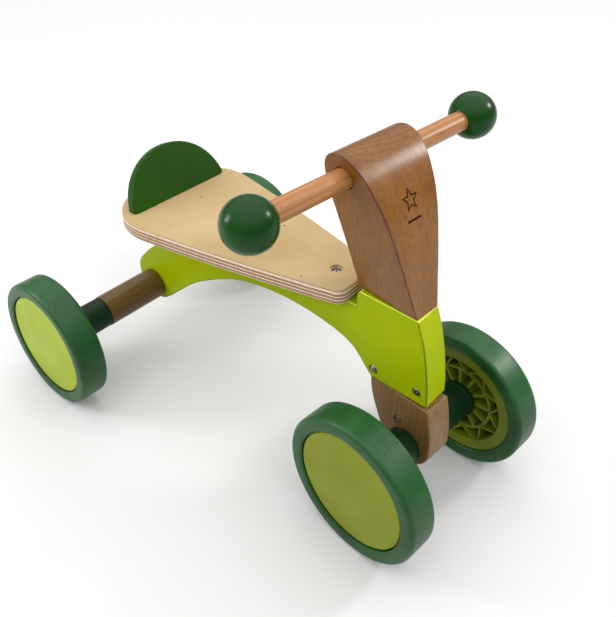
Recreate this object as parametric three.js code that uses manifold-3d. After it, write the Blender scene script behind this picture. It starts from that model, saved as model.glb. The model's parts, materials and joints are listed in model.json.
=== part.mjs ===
// A wooden four-wheeled ride-on for a toddler: a flat arched frame board on a wide rear axle, a plywood
// seat with a low backrest, and a steered front column with a handlebar and two more wheels.
// Millimetres, +X forwards, +Y to the rider's left, +Z up. Everything is drawn from the rear axle's foot
// on the floor, and the whole is moved at the end so that the origin is under the middle of the object.

import * as THREE from 'three';
import { mergeVertices } from 'three/addons/utils/BufferGeometryUtils.js';
import Module from 'manifold-3d';

const wasm = await Module();
wasm.setup();

// ---- driving dimensions ------------------------------------------------------------------------------

const GAP = 0.3; // clearance between pieces that touch or slide
const DEG = Math.PI / 180;

const WHEELBASE = 391;
const AXLE_HEIGHT = 75; // in this drawing, whose zero height lies a little above the floor
const WHEEL_RADIUS = 76.5;
const WHEEL_WIDTH = 33;
const FRONT_TRACK = 199.6; // over the outer faces of the front wheels
const REAR_TRACK = 357.2;
const AXLE_DIAMETER = 8;
const HUB_COLLAR_RADIUS = 18.6;

const BOARD_THICKNESS = 32; // frame board and front block
const EDGE_EASING = 2.5;
const SEAM_TOP = 227.2; // top face of the frame's front column
const SEAM_BOTTOM = 132.6; // its bottom face
const SEAM_GAP = 0.8;

const STEER_X = 369; // the upright steering axis
const STEER_AT_REST = -4.5 * DEG; // the front end stands turned a little to the rider's right
const SPINDLE_DIAMETER = 12;

const SEAT_THICKNESS = 17;
const SEAT_REAR_X = 2.3;
const SEAT_FRONT_X = 311.2;
const SEAT_REAR_HALF_WIDTH = 91;
const SEAT_FRONT_HALF_WIDTH = 27.4;
const SEAT_REAR_CORNER = 64;
const SEAT_FRONT_CORNER = 11;
const SEAT_SIDE_BULGE = 4.5;
const SEAT_SLOPE = 0.024; // the seat rises a little towards the front
const SEAT_TOP_AT_MIDDLE = 222.4;
const SEAT_MIDDLE_X = 150;

const BACKREST_X = 52; // the foot of its front face
const BACKREST_LEAN = 25 * DEG;
const BACKREST_RADIUS = 66;
const BACKREST_SUNK = 6; // how far the half disc's centre lies below the seat
const BACKREST_THICKNESS = 12;
const BACKREST_CORNER = 6;
const DOWEL_DIAMETER = 8;
const DOWEL_SPREAD = 38;

const BAR_DIAMETER = 19.6;
const BAR_X = 318;
const BAR_Z = 352.3;
const BAR_HOLE_DIAMETER = 21.6;
const BALL_RADIUS = 23.4;
const BALL_SPREAD = 141; // from the middle plane to a ball's centre
const STEM_FOOT_HALF_WIDTH = 14.8;
const STEM_HEAD_HALF_WIDTH = 43.4;
const STEM_TOP = 374.5;

const SLEEVE_RADIUS = 19.3;
const BOLT_DIAMETER = 6;
const BOLT_HEAD_RADIUS = 4.8;
const BOLT_HEAD_HEIGHT = 3.6;
const BOLT_POCKET_RADIUS = 5.4;

// ---- finishes ----------------------------------------------------------------------------------------

const finish = (color, roughness, metalness = 0) =>
  new THREE.MeshStandardMaterial({ color, roughness, metalness });

const LIME_PAINT = finish(0xa2b814, 0.4);
const BEECH = finish(0xaa7d55, 0.45);
const BAR_BEECH = finish(0xbe7d50, 0.35);
const SLEEVE_BEECH = finish(0x8a6748, 0.5);
const BIRCH_PLY = finish(0xd9be8c, 0.5);
const GREEN_PAINT = finish(0x2f5019, 0.4);
const GREEN_GLOSS = finish(0x1f5a20, 0.2);
const TYRE_GREEN = finish(0x2f6235, 0.6);
const RIM_PLASTIC = finish(0x6e7a22, 0.5);
const DISC_PLASTIC = finish(0x9fb040, 0.45);
const COLLAR_PLASTIC = finish(0x163a1c, 0.5);
const STEEL = finish(0x9a9a96, 0.3, 1);
const NYLON = finish(0xdedcd2, 0.5);

// ---- solids ------------------------------------------------------------------------------------------

function toSolid(geometry) {
  const bare = geometry.clone();
  bare.deleteAttribute('normal');
  bare.deleteAttribute('uv');
  const merged = mergeVertices(bare, 1e-4);
  return new wasm.Manifold(new wasm.Mesh({
    numProp: 3,
    vertProperties: Float32Array.from(merged.attributes.position.array),
    triVerts: Uint32Array.from(merged.index.array),
  }));
}

function toGeometry(solid) {
  const mesh = solid.getMesh();
  const geometry = new THREE.BufferGeometry();
  geometry.setAttribute('position', new THREE.BufferAttribute(mesh.vertProperties, 3));
  geometry.setIndex(new THREE.BufferAttribute(mesh.triVerts, 1));
  return geometry;
}

function cut(geometry, ...tools) {
  return toGeometry(tools.reduce((body, tool) => body.subtract(toSolid(tool)), toSolid(geometry)));
}

function join(geometry, ...pieces) {
  return toGeometry(pieces.reduce((body, piece) => body.add(toSolid(piece)), toSolid(geometry)));
}

// A turned solid about the Y axis: pairs of [y, radius] up the outside, closed on the axis or on itself.
function turned(profile, segments) {
  const points = profile.map(([y, radius]) => new THREE.Vector2(radius, y));
  return new THREE.LatheGeometry(points, segments);
}

function closedRing(profile, segments) {
  return turned([...profile, profile[0]], segments);
}

// A rod along Y from one place to another.
function rodAlongY(radius, fromY, toY, segments = 24) {
  return turned([[fromY, 0], [fromY, radius], [toY, radius], [toY, 0]], segments);
}

function rodAlongZ(radius, fromZ, toZ, segments = 24) {
  return rodAlongY(radius, fromZ, toZ, segments).rotateX(Math.PI / 2);
}

function block(sizeX, sizeY, sizeZ) {
  return new THREE.BoxGeometry(sizeX, sizeY, sizeZ);
}

// A flat blank drawn in the XY plane and thick along Z from zero upwards, with its edges eased.
function blank(shape, thickness, easing, bevelSegments = 1) {
  const geometry = new THREE.ExtrudeGeometry(shape, {
    depth: thickness - 2 * easing,
    bevelEnabled: easing > 0,
    bevelThickness: easing,
    bevelSize: easing,
    bevelOffset: -easing,
    bevelSegments,
  });
  return geometry.translate(0, 0, easing);
}

// A board drawn in the XZ plane and as thick as said along Y, centred on the middle plane.
function board(shape, thickness, easing) {
  return blank(shape, thickness, easing).translate(0, 0, -thickness / 2).rotateX(Math.PI / 2);
}

const vectors = (pairs) => pairs.map(([x, z]) => new THREE.Vector2(x, z));

function arc(centreX, centreZ, radius, from, to, steps) {
  return Array.from({ length: steps + 1 }, (_, i) => {
    const angle = from + (i / steps) * (to - from);
    return new THREE.Vector2(centreX + radius * Math.cos(angle), centreZ + radius * Math.sin(angle));
  });
}

function smooth(pairs, stepsPerStretch = 2) {
  return new THREE.SplineCurve(vectors(pairs)).getPoints(stepsPerStretch * (pairs.length - 1));
}

// A closed outline from stretches that follow on, leaving out ends that coincide.
function outline(...stretches) {
  const points = stretches.flat();
  const kept = points.filter((point, i) => point.distanceTo(points.at(i - 1)) > 0.3);
  return new THREE.Shape(kept);
}

function mesh(name, geometry, material) {
  const piece = new THREE.Mesh(geometry, material);
  piece.name = name;
  return piece;
}

// ---- seat --------------------------------------------------------------------------------------------

const seatTopAt = (x) => SEAT_TOP_AT_MIDDLE + SEAT_SLOPE * (x - SEAT_MIDDLE_X);
const SEAT_TILT = Math.atan(SEAT_SLOPE);
const SEAT_SCREW_X = [282.6, 158];

// The seat in plan: a broad rounded rear, gently bulging sides and a narrow nose.
function seatOutline() {
  const length = SEAT_FRONT_X - SEAT_REAR_X;
  const sideAt = (x) => {
    const along = (x - SEAT_REAR_X) / length;
    const taper = SEAT_REAR_HALF_WIDTH + (SEAT_FRONT_HALF_WIDTH - SEAT_REAR_HALF_WIDTH) * along;
    return taper + 4 * SEAT_SIDE_BULGE * along * (1 - along);
  };
  // a round corner touches the end of the seat and the side that comes towards it
  const corner = (endX, radius, towards, steps) => {
    const centreX = endX + towards * radius;
    const touch = Math.PI / 2 + Math.atan(sideAt(centreX + 0.5) - sideAt(centreX - 0.5));
    const centreY = sideAt(centreX + radius * Math.cos(touch)) - radius * Math.sin(touch);
    return arc(centreX, centreY, radius, towards > 0 ? Math.PI : 0, touch, steps);
  };
  const rearCorner = corner(SEAT_REAR_X, SEAT_REAR_CORNER, 1, 12);
  const frontCorner = corner(SEAT_FRONT_X, SEAT_FRONT_CORNER, -1, 5).reverse();
  const sides = [0.4, 0.55, 0.7, 0.85].map((along) => {
    const x = SEAT_REAR_X + along * length;
    return new THREE.Vector2(x, sideAt(x));
  });
  const left = [...rearCorner, ...sides, ...frontCorner];
  const right = left.map((point) => new THREE.Vector2(point.x, -point.y)).reverse();
  return outline(left, right);
}

// Places a piece drawn on a flat seat plane, with z = 0 at the seat's top, on the sloping seat.
function onSeat(geometry) {
  return geometry
    .translate(-SEAT_MIDDLE_X, 0, 0)
    .rotateY(-SEAT_TILT)
    .translate(SEAT_MIDDLE_X, 0, SEAT_TOP_AT_MIDDLE);
}

const SCREW_POCKET_DEPTH = 3;
const SCREW_HEAD_RADIUS = 5;
const SCREW_POCKET_RADIUS = 6.2;
const SCREW_SHANK_RADIUS = 2.4;
const SCREW_LENGTH = 42;

function seatScrewHole(x) {
  const pocket = rodAlongZ(SCREW_POCKET_RADIUS, -SCREW_POCKET_DEPTH - 3, 1, 20);
  const shank = rodAlongZ(SCREW_SHANK_RADIUS + GAP, -SCREW_LENGTH - 8, 0, 12);
  return onSeat(join(pocket, shank).translate(x, 0, 0));
}

function seatScrew(x) {
  const top = -SCREW_POCKET_DEPTH;
  const profile = [
    [-SCREW_LENGTH - 4, 0],
    [-SCREW_LENGTH, SCREW_SHANK_RADIUS],
    [top - 2.6, SCREW_SHANK_RADIUS],
    [top - 2.6, SCREW_HEAD_RADIUS],
    [top - 0.6, SCREW_HEAD_RADIUS],
    [top, SCREW_HEAD_RADIUS - 1.4],
    [top, 0],
  ];
  const screw = turned(profile, 16).rotateX(Math.PI / 2);
  return onSeat(cut(screw, ...crossRecess(top)).translate(x, 0, 0));
}

// Two crossed slots sunk into a head whose top is at the given height.
function crossRecess(top) {
  const slot = () => block(5, 1.1, 2).translate(0, 0, top - 0.2);
  return [slot(), slot().rotateZ(Math.PI / 2)];
}

// A half disc whose flat foot has small round corners.
function backrestShape() {
  const halfFoot = Math.sqrt(BACKREST_RADIUS ** 2 - BACKREST_SUNK ** 2);
  const start = Math.asin((BACKREST_SUNK + BACKREST_CORNER) / BACKREST_RADIUS);
  const inset = halfFoot - BACKREST_CORNER * 0.8;
  return outline(
    vectors([[-inset, 0], [inset, 0], [halfFoot - 0.6, 2.2]]),
    arc(0, -BACKREST_SUNK, BACKREST_RADIUS, start, Math.PI - start, 30),
    vectors([[0.6 - halfFoot, 2.2]]));
}

// Turns a piece drawn upright at the backrest's foot to the backrest's lean and sets it on the seat.
function atBackrest(geometry) {
  return geometry
    .rotateY(-BACKREST_LEAN)
    .translate(BACKREST_X, 0, seatTopAt(BACKREST_X));
}

function backrestDowel(side, extra = 0) {
  const rod = rodAlongZ(DOWEL_DIAMETER / 2 + extra, -11 - extra, 18 + extra, 12);
  return atBackrest(rod.translate(-BACKREST_THICKNESS / 2, side * DOWEL_SPREAD, 0));
}

function backrest() {
  const upright = blank(backrestShape(), BACKREST_THICKNESS, 1.5);
  upright.rotateX(Math.PI / 2).rotateZ(Math.PI / 2).translate(-BACKREST_THICKNESS, 0, 0);
  // the foot is carried on down so that the seat's surface can cut it to the lean
  const skirt = block(BACKREST_THICKNESS - 0.4, 2 * (BACKREST_RADIUS - BACKREST_CORNER), 14);
  skirt.translate(-BACKREST_THICKNESS / 2, 0, -5);
  const seatSide = onSeat(block(200, 300, 60).translate(BACKREST_X, 0, -30 + GAP));
  const holes = [-1, 1].map((side) => backrestDowel(side, GAP));
  return cut(atBackrest(join(upright, skirt)), seatSide, ...holes);
}

function seatBoard() {
  const plank = blank(seatOutline(), SEAT_THICKNESS, 1).translate(0, 0, -SEAT_THICKNESS);
  const holes = [...SEAT_SCREW_X.map(seatScrewHole), ...[-1, 1].map((side) => backrestDowel(side, GAP))];
  return cut(onSeat(plank), ...holes);
}

// ---- frame board -------------------------------------------------------------------------------------

const FRAME_BOLTS = [
  { name: 'rear', x: 344.2, z: 142.2 },
  { name: 'front', x: 394.2, z: 144.8 },
];
const FRAME_BOLT_DEPTH = 0.6;
const LOBE_CENTRE_Z = 84; // the rounded rear end, a little above the axle
const LOBE_RADIUS = 31;
const COLUMN_REAR_X = 319.9;

function frameShape() {
  const seatUnderside = (x) => seatTopAt(x) - SEAT_THICKNESS / Math.cos(SEAT_TILT) - GAP;
  const columnFront = [[406.6, SEAM_BOTTOM], [405.4, 154], [401.2, 182], [396, 205], [388.3, SEAM_TOP]];
  const columnRear = [
    [COLUMN_REAR_X + 3.5, SEAM_TOP],
    [COLUMN_REAR_X, SEAM_TOP - 4.5],
    [COLUMN_REAR_X, seatUnderside(COLUMN_REAR_X)],
  ];
  const rearTop = [[112, seatUnderside(112)], [92, 198], [66, 182.5], [38, 161], [4, 132], [-12, 117]];
  const arch = [[31, 69], [58, 94.5], [82, 114.5], [116, 136], [150, 153.5], [186, 164.5], [225, 169.8]];
  const throat = [[262, 170], [296, 165.6], [316, 158.5], [326.5, 149.5], [334.5, 140], [341.8, SEAM_BOTTOM]];
  return outline(
    smooth(columnFront),
    vectors(columnRear),
    smooth(rearTop),
    arc(0, LOBE_CENTRE_Z, LOBE_RADIUS, 132 * DEG, 308 * DEG, 18),
    smooth([...arch, ...throat]));
}

// A hole right through for a bolt whose head and nut lie as deep as said below the faces.
function crossHole(x, z, headDepth) {
  const seat = BOARD_THICKNESS / 2 - headDepth - BOLT_HEAD_HEIGHT - GAP;
  const through = rodAlongY(BOLT_DIAMETER / 2 + GAP, -40, 40, 14);
  const near = rodAlongY(BOLT_POCKET_RADIUS, -BOARD_THICKNESS, -seat, 16);
  const far = rodAlongY(BOLT_POCKET_RADIUS, seat, BOARD_THICKNESS, 16);
  return join(through, near, far).translate(x, 0, z);
}

const BUSH_RADIUS = 9;
const BUSH_FLANGE_RADIUS = 12.5;
const BUSH_FLANGE = 3;
const BUSH_LENGTH = 22;
const THRUST_PROUD = 0.5; // how far a bush stands out of the frame, to carry the turning piece

function frameBoard() {
  const bore = rodAlongZ(BUSH_RADIUS + GAP, SEAM_BOTTOM - 5, SEAM_TOP + 5, 20);
  const seatDepth = BUSH_FLANGE - THRUST_PROUD + GAP;
  const upperPocket = rodAlongZ(BUSH_FLANGE_RADIUS + GAP, SEAM_TOP - seatDepth, SEAM_TOP + 5, 20);
  const lowerPocket = rodAlongZ(BUSH_FLANGE_RADIUS + GAP, SEAM_BOTTOM - 5, SEAM_BOTTOM + seatDepth, 20);
  const steering = join(bore, upperPocket, lowerPocket).translate(STEER_X, 0, 0);
  const axle = rodAlongY(AXLE_DIAMETER / 2 + GAP, -40, 40, 16).translate(0, 0, AXLE_HEIGHT);
  const bolts = FRAME_BOLTS.map(({ x, z }) => crossHole(x, z, FRAME_BOLT_DEPTH));
  const screws = SEAT_SCREW_X.map(seatScrewHole);
  return cut(board(frameShape(), BOARD_THICKNESS, EDGE_EASING), steering, axle, ...bolts, ...screws);
}

// A button-headed bolt lying along Y with its head on the rider's right.
function crossBolt(x, z, headDepth) {
  const face = headDepth - BOARD_THICKNESS / 2;
  const end = -face - BOLT_HEAD_HEIGHT - GAP;
  const profile = [
    [face, 0],
    [face, 2.6],
    [face + 1, BOLT_HEAD_RADIUS - 0.5],
    [face + BOLT_HEAD_HEIGHT, BOLT_HEAD_RADIUS],
    [face + BOLT_HEAD_HEIGHT, BOLT_DIAMETER / 2],
    [end, BOLT_DIAMETER / 2],
    [end, 0],
  ];
  const socket = new THREE.CylinderGeometry(1.5, 1.5, 3, 6).translate(0, face, 0);
  return cut(turned(profile, 16), socket).translate(x, 0, z);
}

// The matching domed cap nut on the other side.
function crossNut(x, z, headDepth) {
  const face = BOARD_THICKNESS / 2 - headDepth;
  const profile = [
    [face - BOLT_HEAD_HEIGHT, 0],
    [face - BOLT_HEAD_HEIGHT, BOLT_HEAD_RADIUS],
    [face - 1, BOLT_HEAD_RADIUS - 0.5],
    [face, 2.6],
    [face, 0],
  ];
  return turned(profile, 16).translate(x, 0, z);
}

function steeringBush(atTop) {
  const outward = THRUST_PROUD;
  const profile = [
    [outward - BUSH_LENGTH, SPINDLE_DIAMETER / 2 + GAP],
    [outward - BUSH_LENGTH, BUSH_RADIUS],
    [outward - BUSH_FLANGE, BUSH_RADIUS],
    [outward - BUSH_FLANGE, BUSH_FLANGE_RADIUS],
    [outward, BUSH_FLANGE_RADIUS],
    [outward, SPINDLE_DIAMETER / 2 + GAP],
  ];
  const bush = closedRing(profile, 20).rotateX(Math.PI / 2);
  if (atTop) {
    return bush.translate(STEER_X, 0, SEAM_TOP);
  }
  return bush.rotateX(Math.PI).translate(STEER_X, 0, SEAM_BOTTOM);
}

// ---- rear axle ---------------------------------------------------------------------------------------

const FRONT_HALF_TRACK = FRONT_TRACK / 2;
const REAR_HALF_TRACK = REAR_TRACK / 2;
const AXLE_END_INSET = 4.2; // from a wheel's outer face to the end of its axle
const REAR_COLLAR_REACH = 49; // how far a hub collar reaches inwards past the tyre
const FRONT_COLLAR_REACH = 50.2;

function axleRod(halfTrack, x) {
  const end = halfTrack - AXLE_END_INSET;
  return rodAlongY(AXLE_DIAMETER / 2, -end, end, 16).translate(x, 0, AXLE_HEIGHT);
}

function axleRetainer(halfTrack, x, side) {
  const inner = halfTrack - 7.4;
  const outer = halfTrack - 5.2;
  const profile = [
    [inner, AXLE_DIAMETER / 2 + GAP],
    [inner, 7.5],
    [outer, 6.8],
    [outer, AXLE_DIAMETER / 2 + GAP],
  ];
  return closedRing(profile, 16).rotateX(side > 0 ? 0 : Math.PI).translate(x, 0, AXLE_HEIGHT);
}

// A turned beech spacer over the rear axle, between the frame board and a wheel's collar.
function rearSleeve(side) {
  const from = BOARD_THICKNESS / 2 + GAP;
  const to = REAR_HALF_TRACK - WHEEL_WIDTH - REAR_COLLAR_REACH - 0.4;
  const profile = [
    [from, AXLE_DIAMETER / 2 + GAP],
    [from, SLEEVE_RADIUS - 1.6],
    [from + 1.6, SLEEVE_RADIUS],
    [to - 1, SLEEVE_RADIUS],
    [to, SLEEVE_RADIUS - 1],
    [to, AXLE_DIAMETER / 2 + GAP],
  ];
  return closedRing(profile, 24).rotateX(side > 0 ? 0 : Math.PI).translate(0, 0, AXLE_HEIGHT);
}

// ---- steered column ----------------------------------------------------------------------------------

const TONGUE_THICKNESS = 6;
const STEM_TONGUE = { rearX: 348, frontX: 376, end: 256 };
const BLOCK_TONGUE = { rearX: 360, frontX: 389, end: 86 };
const SHAFT_REACH = 5; // how far the round shaft runs on past the frame
const BLOCK_BOLT = { x: 378.8, z: 97, depth: 1.6 };

// The stem from the side: its nearly straight front rises into a rounded head above the handlebar.
function stemShape() {
  const foot = SEAM_TOP + SEAM_GAP;
  const front = [[388.6, foot], [382.2, 253], [375, 282], [366, 313], [357.7, 334], [349.2, 349]];
  const head = [[340.8, 360.6], [329.8, 370], [316.5, STEM_TOP], [303.4, 370.8], [297, 362.5]];
  const rear = [[295.4, 351], [298, 331], [302.8, 309], [308.7, 284], [314.3, 257], [320.2, foot]];
  return outline(smooth([...front, ...head, ...rear]));
}

// The stem seen from the front: narrow where it meets the frame, and widening straight up to its head.
function stemTaper() {
  const foot = SEAM_TOP;
  const head = STEM_TOP + 6;
  const spread = (STEM_HEAD_HALF_WIDTH - STEM_FOOT_HALF_WIDTH) / (STEM_TOP - foot);
  const headHalf = STEM_FOOT_HALF_WIDTH + spread * (head - foot);
  const sides = [
    [-STEM_FOOT_HALF_WIDTH, foot],
    [STEM_FOOT_HALF_WIDTH, foot],
    [headHalf, head],
    [-headHalf, head],
  ];
  return board(outline(vectors(sides)), 200, 0).rotateZ(Math.PI / 2).translate(STEER_X - 30, 0, 0);
}

// A flat tongue from one of the seams to its end, with the same room left all round it.
function flatTongue({ rearX, frontX, end }, seam, room) {
  const away = Math.sign(end - seam);
  const [from, to] = [seam, end + away * room];
  const tongue = block(frontX - rearX + 2 * room, TONGUE_THICKNESS + 2 * room, Math.abs(to - from));
  return tongue.translate((rearX + frontX) / 2, 0, (from + to) / 2);
}

// The room in the stem or the block for an end of the spindle: a slot for the tongue, a hole for the shaft.
function tongueSlot(tongue, seam, shaftEnd) {
  const middle = (SEAM_TOP + SEAM_BOTTOM) / 2;
  const shaft = rodAlongZ(SPINDLE_DIAMETER / 2 + GAP, Math.min(middle, shaftEnd), Math.max(middle, shaftEnd), 24);
  return join(flatTongue(tongue, seam, GAP), shaft.translate(STEER_X, 0, 0));
}

const LOCK_SCREW = { length: 26, headRadius: 4, shankRadius: 2 };

function lockScrewHole() {
  const shank = rodAlongY(LOCK_SCREW.shankRadius + GAP, 0, LOCK_SCREW.length + 2, 12);
  const head = rodAlongY(LOCK_SCREW.headRadius + GAP, -12, 2.6, 16);
  return join(shank, head).rotateZ(-Math.PI / 2).translate(BAR_X - 22, 0, BAR_Z);
}

function lockScrew() {
  const { length, headRadius, shankRadius } = LOCK_SCREW;
  const profile = [
    [0, 0],
    [0, headRadius],
    [2.2, headRadius],
    [2.2, shankRadius],
    [length - 4, shankRadius],
    [length, 0],
  ];
  const socket = new THREE.CylinderGeometry(1.3, 1.3, 2.4, 6);
  const screw = cut(turned(profile, 14), socket);
  return screw.rotateZ(-Math.PI / 2).translate(BAR_X - 22, 0, BAR_Z);
}

function upperStem() {
  const profile = toSolid(board(stemShape(), 120, 0));
  const tapered = toGeometry(profile.intersect(toSolid(stemTaper())));
  const barHole = rodAlongY(BAR_HOLE_DIAMETER / 2, -60, 60, 24).translate(BAR_X, 0, BAR_Z);
  const slot = tongueSlot(STEM_TONGUE, SEAM_TOP - 5, SEAM_TOP + SHAFT_REACH + GAP);
  return cut(tapered, barHole, slot, lockScrewHole());
}

function lowerBlock() {
  const top = SEAM_BOTTOM - SEAM_GAP;
  const shape = outline(
    smooth([[341, top], [342.8, 116], [347, 101.5], [352.5, 88.5], [356.6, 79]]),
    arc(388.3, 80, 30.5, 192 * DEG, 368 * DEG, 18),
    smooth([[418.2, 96], [416, 112], [411.6, top]]));
  const axle = rodAlongY(AXLE_DIAMETER / 2 + GAP, -40, 40, 16).translate(WHEELBASE, 0, AXLE_HEIGHT);
  const slot = tongueSlot(BLOCK_TONGUE, top + 5, SEAM_BOTTOM - SHAFT_REACH - GAP);
  const bolt = crossHole(BLOCK_BOLT.x, BLOCK_BOLT.z, BLOCK_BOLT.depth);
  return cut(board(shape, BOARD_THICKNESS, EDGE_EASING), axle, slot, bolt);
}

// A steel spindle with a flat tongue at each end, so that the stem turns the block.
function steeringSpindle() {
  const shaftEnds = [SEAM_BOTTOM - SHAFT_REACH, SEAM_TOP + SHAFT_REACH];
  const shaft = rodAlongZ(SPINDLE_DIAMETER / 2, ...shaftEnds, 24).translate(STEER_X, 0, 0);
  const upper = flatTongue(STEM_TONGUE, SEAM_TOP + SEAM_GAP + 1, 0);
  const lower = flatTongue(BLOCK_TONGUE, SEAM_BOTTOM - SEAM_GAP - 1, 0);
  const bolt = rodAlongY(BOLT_DIAMETER / 2 + GAP, -10, 10, 14).translate(BLOCK_BOLT.x, 0, BLOCK_BOLT.z);
  return cut(join(shaft, upper, lower), bolt);
}

function handlebar() {
  const end = BALL_SPREAD;
  const bar = rodAlongY(BAR_DIAMETER / 2, -end, end, 24).translate(BAR_X, 0, BAR_Z);
  return cut(bar, lockScrewHole());
}

function handleBall(side) {
  const ball = new THREE.SphereGeometry(BALL_RADIUS, 20, 14);
  const socket = rodAlongY(BAR_DIAMETER / 2 + GAP, -GAP, BALL_RADIUS + 5, 24);
  const bored = cut(ball, socket);
  return bored.rotateZ(side > 0 ? Math.PI : 0).translate(BAR_X, side * BALL_SPREAD, BAR_Z);
}

// ---- wheels ------------------------------------------------------------------------------------------
// A wheel is drawn about the Y axis, its inner face at y = 0 and its outer face at y = WHEEL_WIDTH.

const TYRE_BORE = 62;
const RIM_RADIUS = 61.6;
const DISC_RADIUS = 61;
const FACE_INSET = 2.5;
const RECESS_RADIUS = 50;
const HUB_RADIUS = 15;
const RIB_RING = { inner: 35, outer: 38 };
const RIB_TOP = 6.5;
const FLOOR_Y = 18;
const BARREL_END = WHEEL_WIDTH - 4.4;
const HUB_END = WHEEL_WIDTH - 7.6;
const INNER_SHOULDER = 4;
const OUTER_SHOULDER = 8.5;
const RIB_THICKNESS = 3.2;
const RIBS = 8;

// A quarter round from a tyre's side face up to its tread.
function shoulder(faceY, radius, steps) {
  const size = Math.abs(radius);
  return Array.from({ length: steps + 1 }, (_, i) => {
    const angle = (i / steps) * (Math.PI / 2);
    return [faceY + radius * (1 - Math.cos(angle)), WHEEL_RADIUS - size * (1 - Math.sin(angle))];
  });
}

function tyre() {
  const side = WHEEL_WIDTH;
  return closedRing([
    [1.5, TYRE_BORE],
    [0, 64],
    ...shoulder(0, INNER_SHOULDER, 3),
    ...shoulder(side, -OUTER_SHOULDER, 5).reverse(),
    [side, 64],
    [side - 1.5, TYRE_BORE],
  ], 32);
}

// The ribbed inside of the wheel: hub, floor, lip and barrel in one moulding.
function rim() {
  const bore = AXLE_DIAMETER / 2 + GAP;
  const moulding = closedRing([
    [6.3, bore],
    [6.3, HUB_RADIUS],
    [FLOOR_Y, HUB_RADIUS],
    [FLOOR_Y, RECESS_RADIUS],
    [FACE_INSET, RECESS_RADIUS],
    [FACE_INSET, RIM_RADIUS],
    [BARREL_END, RIM_RADIUS],
    [BARREL_END, RIM_RADIUS - 2.5],
    [FLOOR_Y + 3, RIM_RADIUS - 2.5],
    [FLOOR_Y + 3, HUB_RADIUS],
    [HUB_END, HUB_RADIUS],
    [HUB_END, bore],
  ], 28);
  const ring = closedRing([
    [RIB_TOP, RIB_RING.inner],
    [RIB_TOP, RIB_RING.outer],
    [FLOOR_Y + 1, RIB_RING.outer],
    [FLOOR_Y + 1, RIB_RING.inner],
  ], 28);
  return join(moulding, ring, ...Array.from({ length: RIBS }, (_, i) => rib((i / RIBS) * 2 * Math.PI)));
}

// A rib standing on the floor, from the hub out past the ring to the wall of the recess.
function rib(angle) {
  const from = HUB_RADIUS - 1;
  const to = RECESS_RADIUS + 1;
  return block(to - from, FLOOR_Y + 1 - RIB_TOP, RIB_THICKNESS)
    .translate((from + to) / 2, (FLOOR_Y + 1 + RIB_TOP) / 2, 0)
    .rotateY(angle);
}

// The snapped-in cover over the hub and the end of the axle, very slightly domed.
function coverDisc() {
  const edge = WHEEL_WIDTH - FACE_INSET;
  return turned([
    [WHEEL_WIDTH - 3.9, 0],
    [WHEEL_WIDTH - 3.9, DISC_RADIUS - 1],
    [edge - 0.8, DISC_RADIUS],
    [edge, DISC_RADIUS - 0.8],
    [WHEEL_WIDTH - 1.9, 40],
    [WHEEL_WIDTH - 1.5, 0],
  ], 32);
}

function hubCollar(reach) {
  const bore = AXLE_DIAMETER / 2 + GAP;
  return closedRing([
    [-reach, bore],
    [-reach, HUB_COLLAR_RADIUS - 1.5],
    [1.5 - reach, HUB_COLLAR_RADIUS],
    [0, HUB_COLLAR_RADIUS + 0.9],
    [6, HUB_COLLAR_RADIUS + 1.2],
    [6, bore],
  ], 24);
}

function wheel(place, x, halfTrack, side, collarReach) {
  const group = new THREE.Group();
  group.position.set(x, side * (halfTrack - WHEEL_WIDTH), AXLE_HEIGHT);
  group.rotation.x = side > 0 ? 0 : Math.PI;
  group.add(mesh(`tyre_${place}`, tyre(), TYRE_GREEN));
  group.add(mesh(`wheel_rim_${place}`, rim(), RIM_PLASTIC));
  group.add(mesh(`wheel_cover_${place}`, coverDisc(), DISC_PLASTIC));
  group.add(mesh(`hub_collar_${place}`, hubCollar(collarReach), COLLAR_PLASTIC));
  return group;
}

// ---- assembly ----------------------------------------------------------------------------------------

const SIDES = [{ name: 'right', side: -1 }, { name: 'left', side: 1 }];

function chassis() {
  const group = new THREE.Group();
  group.add(mesh('frame_board', frameBoard(), LIME_PAINT));
  group.add(mesh('seat_board', seatBoard(), BIRCH_PLY));
  group.add(mesh('backrest', backrest(), GREEN_PAINT));
  group.add(mesh('seat_screw_front', seatScrew(SEAT_SCREW_X[0]), STEEL));
  group.add(mesh('seat_screw_rear', seatScrew(SEAT_SCREW_X[1]), STEEL));
  group.add(mesh('steering_bush_upper', steeringBush(true), NYLON));
  group.add(mesh('steering_bush_lower', steeringBush(false), NYLON));
  group.add(mesh('rear_axle', axleRod(REAR_HALF_TRACK, 0), STEEL));
  for (const { name, x, z } of FRAME_BOLTS) {
    group.add(mesh(`frame_bolt_${name}`, crossBolt(x, z, FRAME_BOLT_DEPTH), STEEL));
    group.add(mesh(`frame_nut_${name}`, crossNut(x, z, FRAME_BOLT_DEPTH), STEEL));
  }
  for (const { name, side } of SIDES) {
    group.add(mesh(`backrest_dowel_${name}`, backrestDowel(side), BEECH));
    group.add(mesh(`rear_sleeve_${name}`, rearSleeve(side), SLEEVE_BEECH));
    group.add(mesh(`axle_retainer_rear_${name}`, axleRetainer(REAR_HALF_TRACK, 0, side), STEEL));
    group.add(wheel(`rear_${name}`, 0, REAR_HALF_TRACK, side, REAR_COLLAR_REACH));
  }
  return group;
}

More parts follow.
